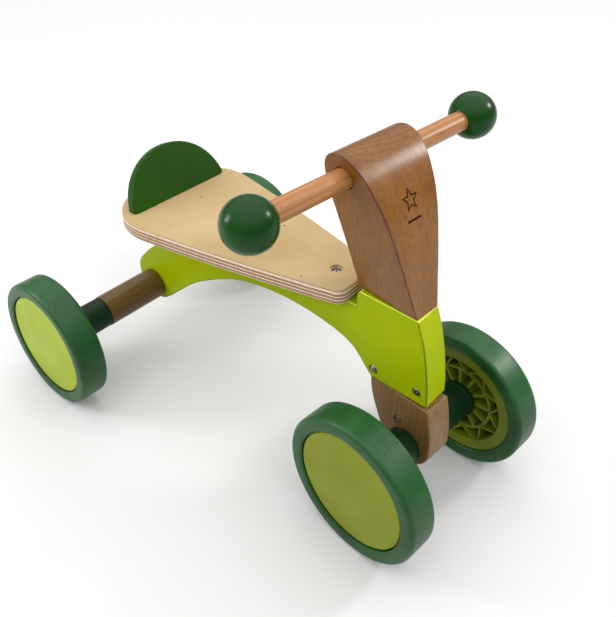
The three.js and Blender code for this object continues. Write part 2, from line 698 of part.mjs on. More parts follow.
function frontEnd() {
  const group = new THREE.Group();
  group.add(mesh('upper_stem', upperStem(), BEECH));
  group.add(mesh('lower_block', lowerBlock(), BEECH));
  group.add(mesh('steering_spindle', steeringSpindle(), STEEL));
  group.add(mesh('block_bolt', crossBolt(BLOCK_BOLT.x, BLOCK_BOLT.z, BLOCK_BOLT.depth), STEEL));
  group.add(mesh('block_nut', crossNut(BLOCK_BOLT.x, BLOCK_BOLT.z, BLOCK_BOLT.depth), STEEL));
  group.add(mesh('handlebar', handlebar(), BAR_BEECH));
  group.add(mesh('handlebar_lock_screw', lockScrew(), STEEL));
  group.add(mesh('front_axle', axleRod(FRONT_HALF_TRACK, WHEELBASE), STEEL));
  for (const { name, side } of SIDES) {
    group.add(mesh(`handle_ball_${name}`, handleBall(side), GREEN_GLOSS));
    group.add(mesh(`axle_retainer_front_${name}`, axleRetainer(FRONT_HALF_TRACK, WHEELBASE, side), STEEL));
    group.add(wheel(`front_${name}`, WHEELBASE, FRONT_HALF_TRACK, side, FRONT_COLLAR_REACH));
  }
  group.position.x = -STEER_X;
  const turnedGroup = new THREE.Group();
  turnedGroup.position.x = STEER_X;
  turnedGroup.rotation.z = STEER_AT_REST;
  turnedGroup.add(group);
  return turnedGroup;
}

const rideOn = new THREE.Group();
rideOn.add(chassis(), frontEnd());
const extent = new THREE.Box3().setFromObject(rideOn, true);
rideOn.position.x = -(extent.min.x + extent.max.x) / 2;
rideOn.position.z = WHEEL_RADIUS - AXLE_HEIGHT;

export default rideOn;
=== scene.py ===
import json
import math

import bmesh
import bpy
from mathutils import Matrix, Vector


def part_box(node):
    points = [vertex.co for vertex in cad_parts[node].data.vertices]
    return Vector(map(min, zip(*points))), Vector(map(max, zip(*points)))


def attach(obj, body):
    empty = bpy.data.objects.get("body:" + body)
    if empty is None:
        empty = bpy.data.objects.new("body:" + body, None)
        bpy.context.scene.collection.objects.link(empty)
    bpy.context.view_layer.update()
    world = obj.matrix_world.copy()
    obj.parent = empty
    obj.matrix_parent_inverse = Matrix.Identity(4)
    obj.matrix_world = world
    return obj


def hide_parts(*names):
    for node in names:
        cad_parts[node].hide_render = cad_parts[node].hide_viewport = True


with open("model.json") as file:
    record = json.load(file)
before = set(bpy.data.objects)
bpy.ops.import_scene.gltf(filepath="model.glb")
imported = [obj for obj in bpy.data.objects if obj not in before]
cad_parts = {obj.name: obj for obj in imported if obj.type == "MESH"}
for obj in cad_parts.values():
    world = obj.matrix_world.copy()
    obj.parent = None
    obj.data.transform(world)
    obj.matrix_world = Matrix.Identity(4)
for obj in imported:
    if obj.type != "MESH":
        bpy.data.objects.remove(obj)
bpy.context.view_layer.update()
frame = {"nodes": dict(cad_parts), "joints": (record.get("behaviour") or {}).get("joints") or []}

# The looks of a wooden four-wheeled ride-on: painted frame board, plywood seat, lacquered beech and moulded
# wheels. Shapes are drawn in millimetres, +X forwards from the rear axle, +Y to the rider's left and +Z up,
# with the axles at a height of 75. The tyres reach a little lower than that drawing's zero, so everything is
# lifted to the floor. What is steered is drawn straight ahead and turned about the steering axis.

MM = 0.001
JOINTS = {joint["name"]: joint for joint in frame["joints"]}

REAR_AXLE = Vector(JOINTS["rear_left_wheel_spin"]["pos_m"])
STEER_POINT = Vector(JOINTS["steer"]["pos_m"])
STEER_X = (STEER_POINT.x - REAR_AXLE.x) / MM
FRONT_AXLE_DIRECTION = Vector(JOINTS["front_left_wheel_spin"]["axis"])
STEER_ANGLE = math.atan2(-FRONT_AXLE_DIRECTION.x, FRONT_AXLE_DIRECTION.y)

AXLE_HEIGHT = 75
LIFT = REAR_AXLE.z - AXLE_HEIGHT * MM
CHASSIS = Matrix.Translation((REAR_AXLE.x, 0, LIFT))
STEER_OFFSET = Matrix.Translation((STEER_POINT.x, 0, 0))
FRONT_END = STEER_OFFSET @ Matrix.Rotation(STEER_ANGLE, 4, "Z") @ STEER_OFFSET.inverted() @ CHASSIS

WHEEL_RADIUS = REAR_AXLE.z / MM
WHEEL_WIDTH = 33
BOARD_HALF = 16
SEAM_TOP = 227.2
SEAM_BOTTOM = 132.6
SEAM_GAP = 0.8
CLEARANCE = 0.3

# Radii of holes, and how far the drawing of a through hole runs past a board's middle.
AXLE_BORE = 4.3
BOLT_BORE = 3.3
DOWEL_BORE = 4.3
LOCK_BORE = 4.3
SCREW_BORE = 2.7
SPINDLE_BORE = 9.3
SPINDLE_END = 6.3
THROUGH = 30

BOARD_EASE = 1.3
EASE_ANGLE = math.radians(38)
SHARP_ANGLE = math.radians(40)


# ---- drawing -----------------------------------------------------------------------------------------

def smooth(points, steps=6):
    """A Catmull-Rom curve through the points."""
    ends = [tuple(2 * a - b for a, b in zip(points[0], points[1]))]
    ends += list(points)
    ends += [tuple(2 * a - b for a, b in zip(points[-1], points[-2]))]
    curve = []
    for before, start, end, after in zip(ends, ends[1:], ends[2:], ends[3:]):
        for step in range(steps):
            t = step / steps
            curve.append(tuple(
                b + 0.5 * ((c - a) * t + (2 * a - 5 * b + 4 * c - d) * t**2 + (3 * b - a - 3 * c + d) * t**3)
                for a, b, c, d in zip(before, start, end, after)))
    return curve + [tuple(points[-1])]


def arc(centre_x, centre_z, radius, start, end, steps=24):
    """Points along an arc, with its angles in degrees."""
    angles = [math.radians(start + (end - start) * i / steps) for i in range(steps + 1)]
    return [(centre_x + radius * math.cos(a), centre_z + radius * math.sin(a)) for a in angles]


def outline(*stretches, nearest=0.25):
    """One closed outline from stretches that follow on, without the points that coincide."""
    points = [point for stretch in stretches for point in stretch]
    return [p for i, p in enumerate(points) if math.dist(p, points[i - 1]) > nearest]


def rounded(corners, steps=5):
    """A closed polygon whose corners, given as (a, b, radius), are rounded."""
    points = []
    for i, (a, b, radius) in enumerate(corners):
        corner = Vector((a, b))
        back = Vector(corners[i - 1][:2]) - corner
        ahead = Vector(corners[(i + 1) % len(corners)][:2]) - corner
        if radius <= 0:
            points.append((a, b))
            continue
        half = back.angle(ahead) / 2
        reach = min(radius / math.tan(half), 0.49 * back.length, 0.49 * ahead.length)
        start = corner + back.normalized() * reach
        end = corner + ahead.normalized() * reach
        centre = corner + (back.normalized() + ahead.normalized()).normalized() * (reach / math.cos(half))
        first = start - centre
        turn = first.angle_signed(end - centre)
        for step in range(steps + 1):
            spoke = first.copy()
            spoke.rotate(Matrix.Rotation(-turn * step / steps, 2))
            points.append(tuple(centre + spoke))
    return points


def lathe(profile, segments=96, closed=True):
    """Points and faces turned about Y from (y, radius) pairs. An open profile starts and ends on the axis."""
    points = []
    rings = []
    for y, radius in profile:
        if radius < 1e-6:
            rings.append([len(points)] * segments)
            points.append((0, y, 0))
            continue
        rings.append([len(points) + i for i in range(segments)])
        points += [
            (radius * math.sin(2 * math.pi * i / segments), y, radius * math.cos(2 * math.pi * i / segments))
            for i in range(segments)]
    faces = []
    for ring, following in zip(rings, rings[1:] + rings[:1] if closed else rings[1:]):
        for i in range(segments):
            j = (i + 1) % segments
            face = tuple(dict.fromkeys((ring[i], following[i], following[j], ring[j])))
            if len(face) > 2:
                faces.append(face)
    return points, faces


def rod(radius, start, end, segments=48):
    return lathe([(start, 0), (start, radius), (end, radius), (end, 0)], segments, closed=False)


def plate(shape, low, high):
    """Points and faces of a plate drawn in XY between two heights."""
    count = len(shape)
    points = [(x, y, z) for z in (low, high) for x, y in shape]
    faces = [tuple(reversed(range(count))), tuple(range(count, 2 * count))]
    faces += [(i, (i + 1) % count, count + (i + 1) % count, count + i) for i in range(count)]
    return points, faces


def upright_plate(shape, low, high):
    """A plate drawn in XZ, its faces at two places along Y."""
    points, faces = plate(shape, low, high)
    return [(x, y, z) for x, z, y in points], faces


def tapered_plate(shape, half_width):
    """A plate drawn in XZ, its faces at plus and minus half_width(z)."""
    points, faces = upright_plate(shape, -1, 1)
    return [(x, side * half_width(z), z) for x, side, z in points], faces


def rectangle(x_low, x_high, y_low, y_high):
    return [(x_low, y_low), (x_high, y_low), (x_high, y_high), (x_low, y_high)]


def bar_between(start, end, thickness, low, high):
    """A straight rib in the XZ plane of a wheel, between two places along its axle."""
    start, end = Vector(start), Vector(end)
    across = (end - start).orthogonal().normalized() * thickness / 2
    corners = [start + across, end + across, end - across, start - across]
    return upright_plate([tuple(corner) for corner in corners], low, high)


def along_y(drawing, x=0, z=0, flip=False):
    """Moves a drawing turned about Y to a place, mirrored end for end if asked."""
    points, faces = drawing
    turn = -1 if flip else 1
    return [(turn * px + x, turn * py, pz + z) for px, py, pz in points], faces


def upright(drawing, x=0, y=0, z=0):
    """Stands a drawing turned about Y on end, with its +Y pointing up."""
    points, faces = drawing
    return [(px + x, y - pz, py + z) for px, py, pz in points], faces


# ---- pieces ------------------------------------------------------------------------------------------

def drawn_mesh(name, drawing):
    """A mesh from a drawing's points and faces, with all its faces looking outwards."""
    points, faces = drawing
    mesh = bpy.data.meshes.new(name)
    mesh.from_pydata([tuple(MM * value for value in point) for point in points], [], faces)
    mesh.validate()
    shape = bmesh.new()
    shape.from_mesh(mesh)
    bmesh.ops.recalc_face_normals(shape, faces=shape.faces)
    shape.to_mesh(mesh)
    shape.free()
    return mesh


def put(name, mesh, place=Matrix()):
    """A new object with this mesh at this place."""
    thing = bpy.data.objects.new(name, mesh)
    bpy.context.scene.collection.objects.link(thing)
    thing.matrix_world = place
    return thing


def draw(name, drawing, place=Matrix()):
    return put(name, drawn_mesh(name, drawing), place)


def settle(thing):
    """Turns a piece's modifiers into its mesh."""
    bpy.context.view_layer.update()
    shown = thing.evaluated_get(bpy.context.evaluated_depsgraph_get())
    mesh = bpy.data.meshes.new_from_object(shown)
    old = thing.data
    thing.modifiers.clear()
    thing.data = mesh
    bpy.data.meshes.remove(old)


def ease(thing, width, segments=3):
    """Rounds a piece's edges, which become the second of its two materials."""
    thing.data.materials.append(None)
    thing.data.materials.append(None)
    bevel = thing.modifiers.new("eased edges", "BEVEL")
    bevel.material = 1
    bevel.width = width * MM
    bevel.segments = segments
    bevel.limit_method = "ANGLE"
    bevel.angle_limit = EASE_ANGLE
    settle(thing)


def combine(thing, drawings, operation="DIFFERENCE"):
    """Cuts each drawing, in the piece's own place, out of the piece, or adds it."""
    tools = [draw("tool", drawing, thing.matrix_world) for drawing in drawings]
    for tool in tools:
        boolean = thing.modifiers.new("boolean", "BOOLEAN")
        boolean.operation = operation
        boolean.solver = "EXACT"
        boolean.object = tool
    settle(thing)
    for tool in tools:
        bpy.data.objects.remove(tool)


def finish(thing, material, body, slot, *replaced, edge=None):
    """Gives a piece its material, its eased edges another if there is one, its shading and its body."""
    eased = [face.material_index for face in thing.data.polygons]
    thing.data.materials.clear()
    thing.data.materials.append(material)
    if edge:
        thing.data.materials.append(edge)
        thing.data.polygons.foreach_set("material_index", eased)
    thing.data.shade_smooth()
    thing.data.set_sharp_from_angle(angle=SHARP_ANGLE)
    weighted = thing.modifiers.new("even shading", "WEIGHTED_NORMAL")
    weighted.keep_sharp = True
    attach(thing, body)
    if replaced:
        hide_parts(*replaced)


# ---- materials ---------------------------------------------------------------------------------------

def srgb(red, green, blue):
    """A colour from 0 to 255 as linear numbers with alpha."""
    def linear(value):
        value /= 255
        return value / 12.92 if value <= 0.04045 else ((value + 0.055) / 1.055) ** 2.4
    return (linear(red), linear(green), linear(blue), 1)


class Surface:
    """A material and short ways to add the nodes that make up its look."""

    def __init__(self, name, roughness, specular=0.5, coat=0, coat_roughness=0.1):
        self.material = bpy.data.materials.new(name)
        self.material.use_nodes = True
        self.nodes = self.material.node_tree.nodes
        self.links = self.material.node_tree.links
        self.shader = self.nodes["Principled BSDF"]
        self.shader.inputs["Roughness"].default_value = roughness
        self.shader.inputs["Specular IOR Level"].default_value = specular
        self.shader.inputs["Coat Weight"].default_value = coat
        self.shader.inputs["Coat Roughness"].default_value = coat_roughness
        self.place = self.nodes.new("ShaderNodeTexCoord").outputs["Object"]

    def facing(self, axis):
        """How far the face looks along one of the piece's own axes."""
        normal = self.nodes.new("ShaderNodeTexCoord").outputs["Normal"]
        return self.add("SeparateXYZ", Vector=normal).outputs["XYZ".index(axis)]

    def add(self, kind, settings=None, **inputs):
        """A node whose inputs are values or other nodes' outputs, by name or as _0, _1 by number."""
        node = self.nodes.new("ShaderNode" + kind)
        for key, value in (settings or {}).items():
            setattr(node, key, value)
        for key, value in inputs.items():
            socket = node.inputs[int(key[1:]) if key[0] == "_" else key.replace("_", " ")]
            if isinstance(value, bpy.types.NodeSocket):
                self.links.new(value, socket)
            else:
                socket.default_value = value
        return node

    def stretched(self, scale, location=(0, 0, 0), rotation=(0, 0, 0), source=None):
        """Places moved, turned and scaled, so that noise runs along the grain."""
        source = source or self.place
        mapping = self.add("Mapping", Vector=source, Location=location, Rotation=rotation, Scale=scale)
        return mapping.outputs["Vector"]

    def noise(self, scale, detail=3, roughness=0.5, distortion=0, where=(1, 1, 1), location=(0, 0, 0)):
        """Noise, finer along an axis the larger its number in where."""
        node = self.add(
            "TexNoise", Vector=self.stretched(where, location), Scale=scale, Detail=detail,
            Roughness=roughness, Distortion=distortion)
        return node.outputs["Fac"]

    def ramp(self, factor, stops, interpolation="LINEAR"):
        """A factor turned into greys or colours by (position, value) stops."""
        node = self.add("ValToRGB", Fac=factor)
        node.color_ramp.interpolation = interpolation
        elements = node.color_ramp.elements
        while len(elements) < len(stops):
            elements.new(0.5)
        for element, (position, colour) in zip(elements, stops):
            element.position = position
            element.color = colour if isinstance(colour, tuple) else (colour, colour, colour, 1)
        return node.outputs["Color"]

    def blend(self, factor, first, second):
        """One colour mixed into another."""
        return self.add("Mix", {"data_type": "RGBA"}, _0=factor, _6=first, _7=second).outputs[2]

    def math(self, operation, first, second=0.5):
        return self.add("Math", {"operation": operation}, _0=first, _1=second).outputs[0]

    def colour(self, value):
        self.links.new(value, self.shader.inputs["Base Color"])

    def roughness(self, value):
        self.links.new(value, self.shader.inputs["Roughness"])

    def bump(self, height, depth, strength=1.0):
        """Relief from a height of 0 to 1, which stands for that many millimetres."""
        previous = self.shader.inputs["Normal"].links
        node = self.add("Bump", Strength=strength, Distance=depth * MM, Height=height)
        if previous:
            self.links.new(previous[0].from_socket, node.inputs["Normal"])
        self.links.new(node.outputs["Normal"], self.shader.inputs["Normal"])


def painted(name, main, deep, light, roughness, specular, relief=0.05, painted_top_highlight=None):
    """Paint over wood: faint upright grain, a few specks, and, if asked, a painted highlight: a lighter
    colour where the face looks up.
    """
    surface = Surface(name, roughness, specular)
    clouds = surface.noise(9, detail=2)
    base = surface.blend(surface.ramp(clouds, [(0.35, 0.0), (0.7, 1.0)]), deep, main)
    fibres = surface.noise(6, detail=5, roughness=0.65, where=(120, 120, 12))
    base = surface.blend(surface.ramp(fibres, [(0.5, 0.0), (0.8, 0.35)]), base, light)
    specks = surface.noise(260, detail=1)
    base = surface.blend(surface.ramp(specks, [(0.76, 0.0), (0.8, 0.6)]), base, deep)
    # Painted highlight: faces that look up get a lighter colour, standing in for light falling on them.
    if painted_top_highlight:
        base = surface.blend(surface.ramp(surface.facing("Z"), [(0.25, 0.0), (0.5, 1.0)]), base, painted_top_highlight)
    surface.colour(base)
    surface.roughness(surface.ramp(fibres, [(0.2, roughness * 0.85), (0.8, roughness * 1.25)]))
    surface.bump(fibres, relief)
    surface.bump(surface.noise(420, detail=2), 0.02)
    return surface.material


def beech(
        name, main, pale, dark, direction, heart, roughness=0.36, specular=0.2, coat=0.1, ring=4.5,
        end_rings=0.65, side_rings=0.2, fleck=0.35):
    """Lacquered beech whose grain runs along X, Y or Z, with growth rings round a line through its heart."""
    surface = Surface(name, roughness, specular, coat, coat_roughness=0.3)
    turn = {"X": (0, math.pi / 2, 0), "Y": (math.pi / 2, 0, 0), "Z": (0, 0, 0)}[direction]
    moved = surface.add("VectorMath", {"operation": "SUBTRACT"}, _0=surface.place, _1=heart).outputs[0]
    local = surface.stretched((1, 1, 1), rotation=turn, source=moved)
    sway = surface.add("TexNoise", Vector=surface.stretched((1, 1, 0.12), source=local), Scale=16, Detail=3)
    swayed = surface.add(
        "Mix", {"data_type": "VECTOR"}, _0=0.012, _4=local, _5=sway.outputs["Color"]).outputs[1]
    across = surface.add("VectorMath", {"operation": "MULTIPLY"}, _0=swayed, _1=(1, 1, 0.02)).outputs[0]
    length = surface.add("VectorMath", {"operation": "LENGTH"}, _0=across).outputs["Value"]
    rings = surface.math("FRACT", surface.math("MULTIPLY", length, 1 / (ring * MM)))
    rings = surface.ramp(rings, [(0.0, 0.1), (0.6, 0.35), (0.88, 1.0), (1.0, 0.15)])
    end_grain = surface.math("POWER", surface.math("ABSOLUTE", surface.facing(direction)), 4)
    strength = surface.add(
        "MapRange", Value=end_grain, **{"To Min": side_rings, "To Max": end_rings}).outputs["Result"]
    streaks = surface.add(
        "TexNoise", Vector=surface.stretched((330, 330, 7), source=local), Scale=1, Detail=5, Roughness=0.62)
    fibres = streaks.outputs["Fac"]
    broad = surface.add("TexNoise", Vector=surface.stretched((40, 40, 4), source=local), Scale=1, Detail=3)
    dashes = surface.add(
        "TexNoise", Vector=surface.stretched((480, 480, 60), source=local), Scale=1, Detail=1)
    base = surface.blend(surface.ramp(broad.outputs["Fac"], [(0.3, 0.0), (0.7, 1.0)]), main, pale)
    base = surface.blend(surface.math("MULTIPLY", rings, strength), base, dark)
    base = surface.blend(surface.ramp(fibres, [(0.4, 0.0), (0.72, 0.5)]), base, dark)
    base = surface.blend(surface.ramp(dashes.outputs["Fac"], [(0.64, 0.0), (0.72, fleck)]), base, dark)
    surface.colour(base)
    surface.roughness(surface.ramp(fibres, [(0.3, roughness * 0.75), (0.8, roughness * 1.35)]))
    surface.bump(fibres, 0.06)
    surface.bump(surface.noise(520, detail=2), 0.015)
    return surface.material


# From the top down, wood and glue by turns.
PLY_THICKNESSES = [1.2, 0.5, 2.7, 0.45, 1.4, 0.5, 1.5, 0.45, 1.4, 0.5, 1.5, 0.45, 1.5, 0.5, 1.5, 0.45, 1.0]
VENEER_EDGE = srgb(191, 163, 118)
PLY_EDGES = [srgb(226, 199, 174), srgb(160, 128, 102)]
UPPER_GLUE = srgb(70, 45, 29)
LOWER_GLUE = srgb(84, 57, 39)
VENEER_DEPTH = 0.85


def ply_edge(i):
    """The colour of one layer's edge: wood and glue by turns, with a veneer outside."""
    if i % 2 == 1:
        return UPPER_GLUE if i < 4 else LOWER_GLUE
    if i in (0, len(PLY_THICKNESSES) - 1):
        return VENEER_EDGE
    return PLY_EDGES[0 if i % 4 == 2 else 1]


def birch_plywood():
    """Birch face veneer, and plies with dark glue lines on every edge. The top is at z = 0."""
    surface = Surface("birch_plywood", 0.45, specular=0.25)
    height = surface.add("SeparateXYZ", Vector=surface.place).outputs["Z"]
    waviness = surface.noise(40, detail=2)
    total = sum(PLY_THICKNESSES)
    depth = surface.math("MULTIPLY", height, -1 / (total * MM))
    depth = surface.math("ADD", depth, surface.math("MULTIPLY", surface.math("SUBTRACT", waviness), 0.02))
    stops = [(sum(PLY_THICKNESSES[:i]) / total, ply_edge(i)) for i in range(len(PLY_THICKNESSES))]
    plies = surface.ramp(depth, stops, "CONSTANT")
    fibre = surface.noise(5, detail=5, roughness=0.7, where=(12, 160, 60))
    figure = surface.noise(1, detail=3, distortion=1.2, where=(7, 34, 10))
    cloud = surface.noise(11, detail=2)
    face = surface.blend(
        surface.ramp(cloud, [(0.3, 0.0), (0.7, 1.0)]), srgb(163, 137, 93), srgb(175, 151, 111))
    face = surface.blend(surface.ramp(figure, [(0.5, 0.0), (0.75, 0.3)]), face, srgb(165, 129, 80))
    face = surface.blend(surface.ramp(fibre, [(0.5, 0.0), (0.85, 0.35)]), face, srgb(154, 122, 75))
    marks = surface.noise(1, detail=1, where=(70, 190, 30), location=(3.1, 1.7, 0))
    face = surface.blend(surface.ramp(marks, [(0.77, 0.0), (0.785, 0.95)]), face, srgb(79, 53, 28))
    edge = surface.noise(1, detail=4, roughness=0.7, where=(420, 420, 60))
    side = surface.blend(surface.ramp(edge, [(0.45, 0.0), (0.85, 0.5)]), plies, srgb(116, 83, 60))
    top = surface.math("GREATER_THAN", height, -VENEER_DEPTH * MM)
    surface.colour(surface.blend(top, side, face))
    surface.bump(fibre, 0.03)
    surface.bump(edge, 0.04, strength=0.5)
    return surface.material


def moulded(name, main, deep, roughness, mottling=0.5, pits=False, fine=0.02, specular=0.2):
    """Moulded plastic or rubber: faint mottling, a fine skin, and some small open pits if asked, darkened
    inside as painted shade.
    """
    surface = Surface(name, roughness, specular)
    clouds = surface.noise(22, detail=4, roughness=0.6)
    base = surface.blend(surface.ramp(clouds, [(0.35, 0.0), (0.7, mottling)]), main, deep)
    skin = surface.noise(700, detail=2)
    if pits:
        patches = surface.ramp(surface.noise(24, detail=1), [(0.46, 0.0), (0.56, 1.0)])
        cells = surface.add("TexVoronoi", Vector=surface.place, Scale=260, Randomness=1.0).outputs["Distance"]
        holes = surface.math("MULTIPLY", surface.ramp(cells, [(0.13, 1.0), (0.22, 0.0)]), patches)
        # Painted shade: the pits are darkened inside with the deep colour.
        base = surface.blend(holes, base, deep)
        surface.bump(holes, -0.25)
    surface.colour(base)
    surface.roughness(surface.ramp(clouds, [(0.3, roughness * 0.88), (0.7, roughness * 1.12)]))
    surface.bump(skin, fine)
    return surface.material


def metal(name, colour, roughness):
    """Plated steel with a fine unevenness."""
    surface = Surface(name, roughness)
    surface.shader.inputs["Metallic"].default_value = 1.0
    scratches = surface.noise(1, detail=4, roughness=0.7, where=(900, 900, 900))
    darker = tuple(0.7 * channel for channel in colour[:3]) + (1,)
    surface.colour(surface.ramp(scratches, [(0.3, darker), (0.7, colour)]))
    surface.roughness(surface.ramp(scratches, [(0.3, roughness * 0.7), (0.7, roughness * 1.5)]))
    surface.bump(scratches, 0.01)
    return surface.material


LIME = painted("lime_paint", srgb(158, 174, 0), srgb(142, 160, 0), srgb(167, 182, 2), 0.4, 0.06)
# Eased edges of the frame board: darker than the board where they face sideways, and lighter where they face
# up, a painted highlight.
LIME_EDGE_WITH_PAINTED_HIGHLIGHT = painted(
    "lime_edge_paint_with_painted_highlight", srgb(122, 126, 4), srgb(100, 102, 0), srgb(140, 148, 12), 0.36, 0.12,
    painted_top_highlight=srgb(206, 220, 70))
DARK_GREEN = painted(
    "dark_green_paint", srgb(31, 71, 4), srgb(24, 61, 2), srgb(44, 88, 12), 0.42, 0.1, relief=0.03)
GLOSS_GREEN = painted(
    "gloss_green_paint", srgb(14, 68, 10), srgb(8, 50, 6), srgb(22, 78, 14), 0.24, 0.18, relief=0.015)
STEM_HEART = (0.03, 0.05, 0)
STEM_BEECH = beech(
    "stem_beech", srgb(120, 72, 16), srgb(134, 88, 27), srgb(78, 42, 10), "Z", STEM_HEART,
    specular=0.06, coat=0.6, ring=5.5, side_rings=0.08, end_rings=0.75)
STEM_EDGE = beech(
    "stem_edge_beech", srgb(92, 52, 28), srgb(106, 64, 36), srgb(62, 34, 18), "Z", STEM_HEART,
    coat=0.4, ring=5)
BLOCK_BEECH = beech(
    "block_beech", srgb(120, 88, 46), srgb(132, 100, 56), srgb(82, 54, 24), "Z", STEM_HEART,
    coat=0.25, ring=5)
BAR_BEECH = beech(
    "bar_beech", srgb(167, 110, 60), srgb(181, 129, 76), srgb(111, 62, 31), "Y", (0.30, 0, 0.30),
    roughness=0.4, coat=0.3, ring=3.5, side_rings=0.4, fleck=0.55)
SLEEVE_BEECH = beech(
    "sleeve_beech", srgb(94, 71, 32), srgb(104, 80, 38), srgb(61, 43, 17), "Y", (0.02, 0, 0.11), ring=3.5)
BIRCH = birch_plywood()
TYRE = moulded(
    "tyre_rubber", srgb(19, 76, 28), srgb(8, 49, 14), 0.4, mottling=0.8, pits=True, fine=0.06, specular=0.34)
# One cover plastic in a lit and a shaded copy: the front covers are painted darker, a painted shade.
COVERS_WITH_PAINTED_SHADE = {
    "rear": moulded("rear_cover_plastic", srgb(154, 171, 30), srgb(138, 152, 22), 0.42, fine=0.015),
    "front": moulded("front_cover_plastic_painted_shade", srgb(122, 132, 16), srgb(108, 117, 13), 0.42, fine=0.015)}
RIM = moulded("rim_plastic", srgb(98, 112, 18), srgb(76, 88, 10), 0.4)
COLLAR = moulded("collar_plastic", srgb(11, 43, 17), srgb(6, 30, 10), 0.42, specular=0.15)
NYLON = moulded("nylon", srgb(224, 222, 212), srgb(204, 202, 190), 0.45)
STEEL = metal("plated_steel", srgb(176, 176, 172), 0.28)
DARK_STEEL = metal("dark_steel", srgb(176, 182, 184), 0.22)
BURNT = painted("burnt_beech", srgb(52, 28, 20), srgb(36, 20, 14), srgb(70, 42, 30), 0.7, 0.05)


# ---- frame board -------------------------------------------------------------------------------------

SEAT_THICKNESS = 17
SEAT_SLOPE = 0.024
SEAT_TILT = math.atan(SEAT_SLOPE)
SEAT_PIVOT = (150, 222.4)


def seat_top(x):
    return SEAT_PIVOT[1] + SEAT_SLOPE * (x - SEAT_PIVOT[0])


def seat_underside(x):
    return seat_top(x) - SEAT_THICKNESS / math.cos(SEAT_TILT) - CLEARANCE


FRAME_BOLTS = [("rear", 344.2, 142.2), ("front", 394.2, 144.8)]  # name, and place in XZ
FRAME_BOLT_SUNK = 0.6
FRAME_POCKET = (5.2, 4.5)  # radius and depth
BUSH_SEAT = (12.8, 2.8)


def frame_outline():
    """The frame board from the side: column, top edge, rear lobe round the axle, and arch."""
    column_front = smooth([(406.6, SEAM_BOTTOM), (405.4, 154), (401.2, 182), (396, 205), (388.3, SEAM_TOP)])
    column_rear = [(323.4, SEAM_TOP), (319.9, SEAM_TOP - 4.5), (319.9, seat_underside(319.9))]
    rear_top = smooth([(112, seat_underside(112)), (92, 198), (66, 182.5), (38, 161), (4, 132), (-12, 117)])
    lobe = arc(0, 84, 31, 132, 308)
    arch = smooth([
        (31, 69), (58, 94.5), (82, 114.5), (116, 136), (150, 153.5), (186, 164.5), (225, 169.8), (262, 170),
        (296, 165.6), (316, 158.5), (326.5, 149.5), (334.5, 140), (341.8, SEAM_BOTTOM)])
    return outline(column_front, column_rear, rear_top, lobe, arch)


def frame_board():
    board = draw("frame_board_shown", upright_plate(frame_outline(), -BOARD_HALF, BOARD_HALF), CHASSIS)
    ease(board, BOARD_EASE)
    holes = []
    for _, x, z in FRAME_BOLTS:
        holes += cross_bolt_holes(x, z, *FRAME_POCKET)
    radius, depth = BUSH_SEAT
    holes.append(upright(rod(radius, -depth, 10), STEER_X, 0, SEAM_TOP))
    holes.append(upright(rod(radius, -10, depth), STEER_X, 0, SEAM_BOTTOM))
    holes.append(upright(rod(SPINDLE_BORE, SEAM_BOTTOM - THROUGH, SEAM_TOP + THROUGH), STEER_X))
    holes.append(along_y(rod(AXLE_BORE, -THROUGH, THROUGH), 0, AXLE_HEIGHT))
    combine(board, holes)
    finish(board, LIME, "chassis", "lime_paint", "frame_board", edge=LIME_EDGE_WITH_PAINTED_HIGHLIGHT)


# ---- bolts and screws --------------------------------------------------------------------------------

HEAD_FLAT = 2.4
HEAD_RADIUS = 4.7
HEAD_DOME = 2.2
HEAD_HEIGHT = 3.5
SHANK_RADIUS = 3
SHANK_SHORT = 3.9  # how far its end stays inside the nut's face
SOCKET_RADIUS = 1.75
SOCKET_DEPTH = 1.8
BLOCK_BOLT = (378.8, 97)
BLOCK_BOLT_SUNK = 1.6
BLOCK_POCKET = (5.4, BLOCK_BOLT_SUNK + 4.2)


def cross_bolt_holes(x, z, radius, depth):
    """A bolt's bore across a board, and the pockets at both faces for its head and its nut."""
    inner = BOARD_HALF - depth
    pockets = [rod(radius, -THROUGH, -inner), rod(radius, inner, THROUGH)]
    return [along_y(hole, x, z) for hole in pockets + [rod(BOLT_BORE, -THROUGH, THROUGH, 24)]]


def dome(top, flat, radius, fall, steps=8):
    """The profile of a domed head, from its flat top out to its rim."""
    angles = [math.pi / 2 * i / steps for i in range(1, steps + 1)]
    return [(top - fall * (1 - math.cos(a)), flat + (radius - flat) * math.sin(a)) for a in angles]


def hexagon(radius):
    return [(radius * math.sin(math.pi * i / 3), radius * math.cos(math.pi * i / 3)) for i in range(6)]


def button_bolt(name, x, z, sunk, place, body):
    """A domed socket-headed bolt across a board, with its head on the rider's right."""
    face = sunk - BOARD_HALF
    end = BOARD_HALF - sunk - SHANK_SHORT
    head = [(face, 0), (face, HEAD_FLAT)] + dome(face, HEAD_FLAT, HEAD_RADIUS, -HEAD_DOME)
    head += [(face + HEAD_HEIGHT - 0.1, HEAD_RADIUS), (face + HEAD_HEIGHT, SHANK_RADIUS)]
    shank = [(end, SHANK_RADIUS), (end, 0)]
    bolt = draw(f"{name}_shown", lathe(head + shank, 48, closed=False))
    combine(bolt, [upright_plate(hexagon(SOCKET_RADIUS), face - 2, face + SOCKET_DEPTH)])
    bolt.matrix_world = place @ Matrix.Translation((x * MM, 0, z * MM))
    finish(bolt, DARK_STEEL, body, "steel", name)


def cap_nut(name, x, z, sunk, place, body):
    face = BOARD_HALF - sunk
    back = [(face - HEAD_HEIGHT, 0), (face - HEAD_HEIGHT, HEAD_RADIUS)]
    cap = dome(face, HEAD_FLAT, HEAD_RADIUS, HEAD_DOME)[::-1] + [(face, HEAD_FLAT), (face, 0)]
    place = place @ Matrix.Translation((x * MM, 0, z * MM))
    nut = draw(f"{name}_shown", lathe(back + cap, 48, closed=False), place)
    finish(nut, DARK_STEEL, body, "steel", name)


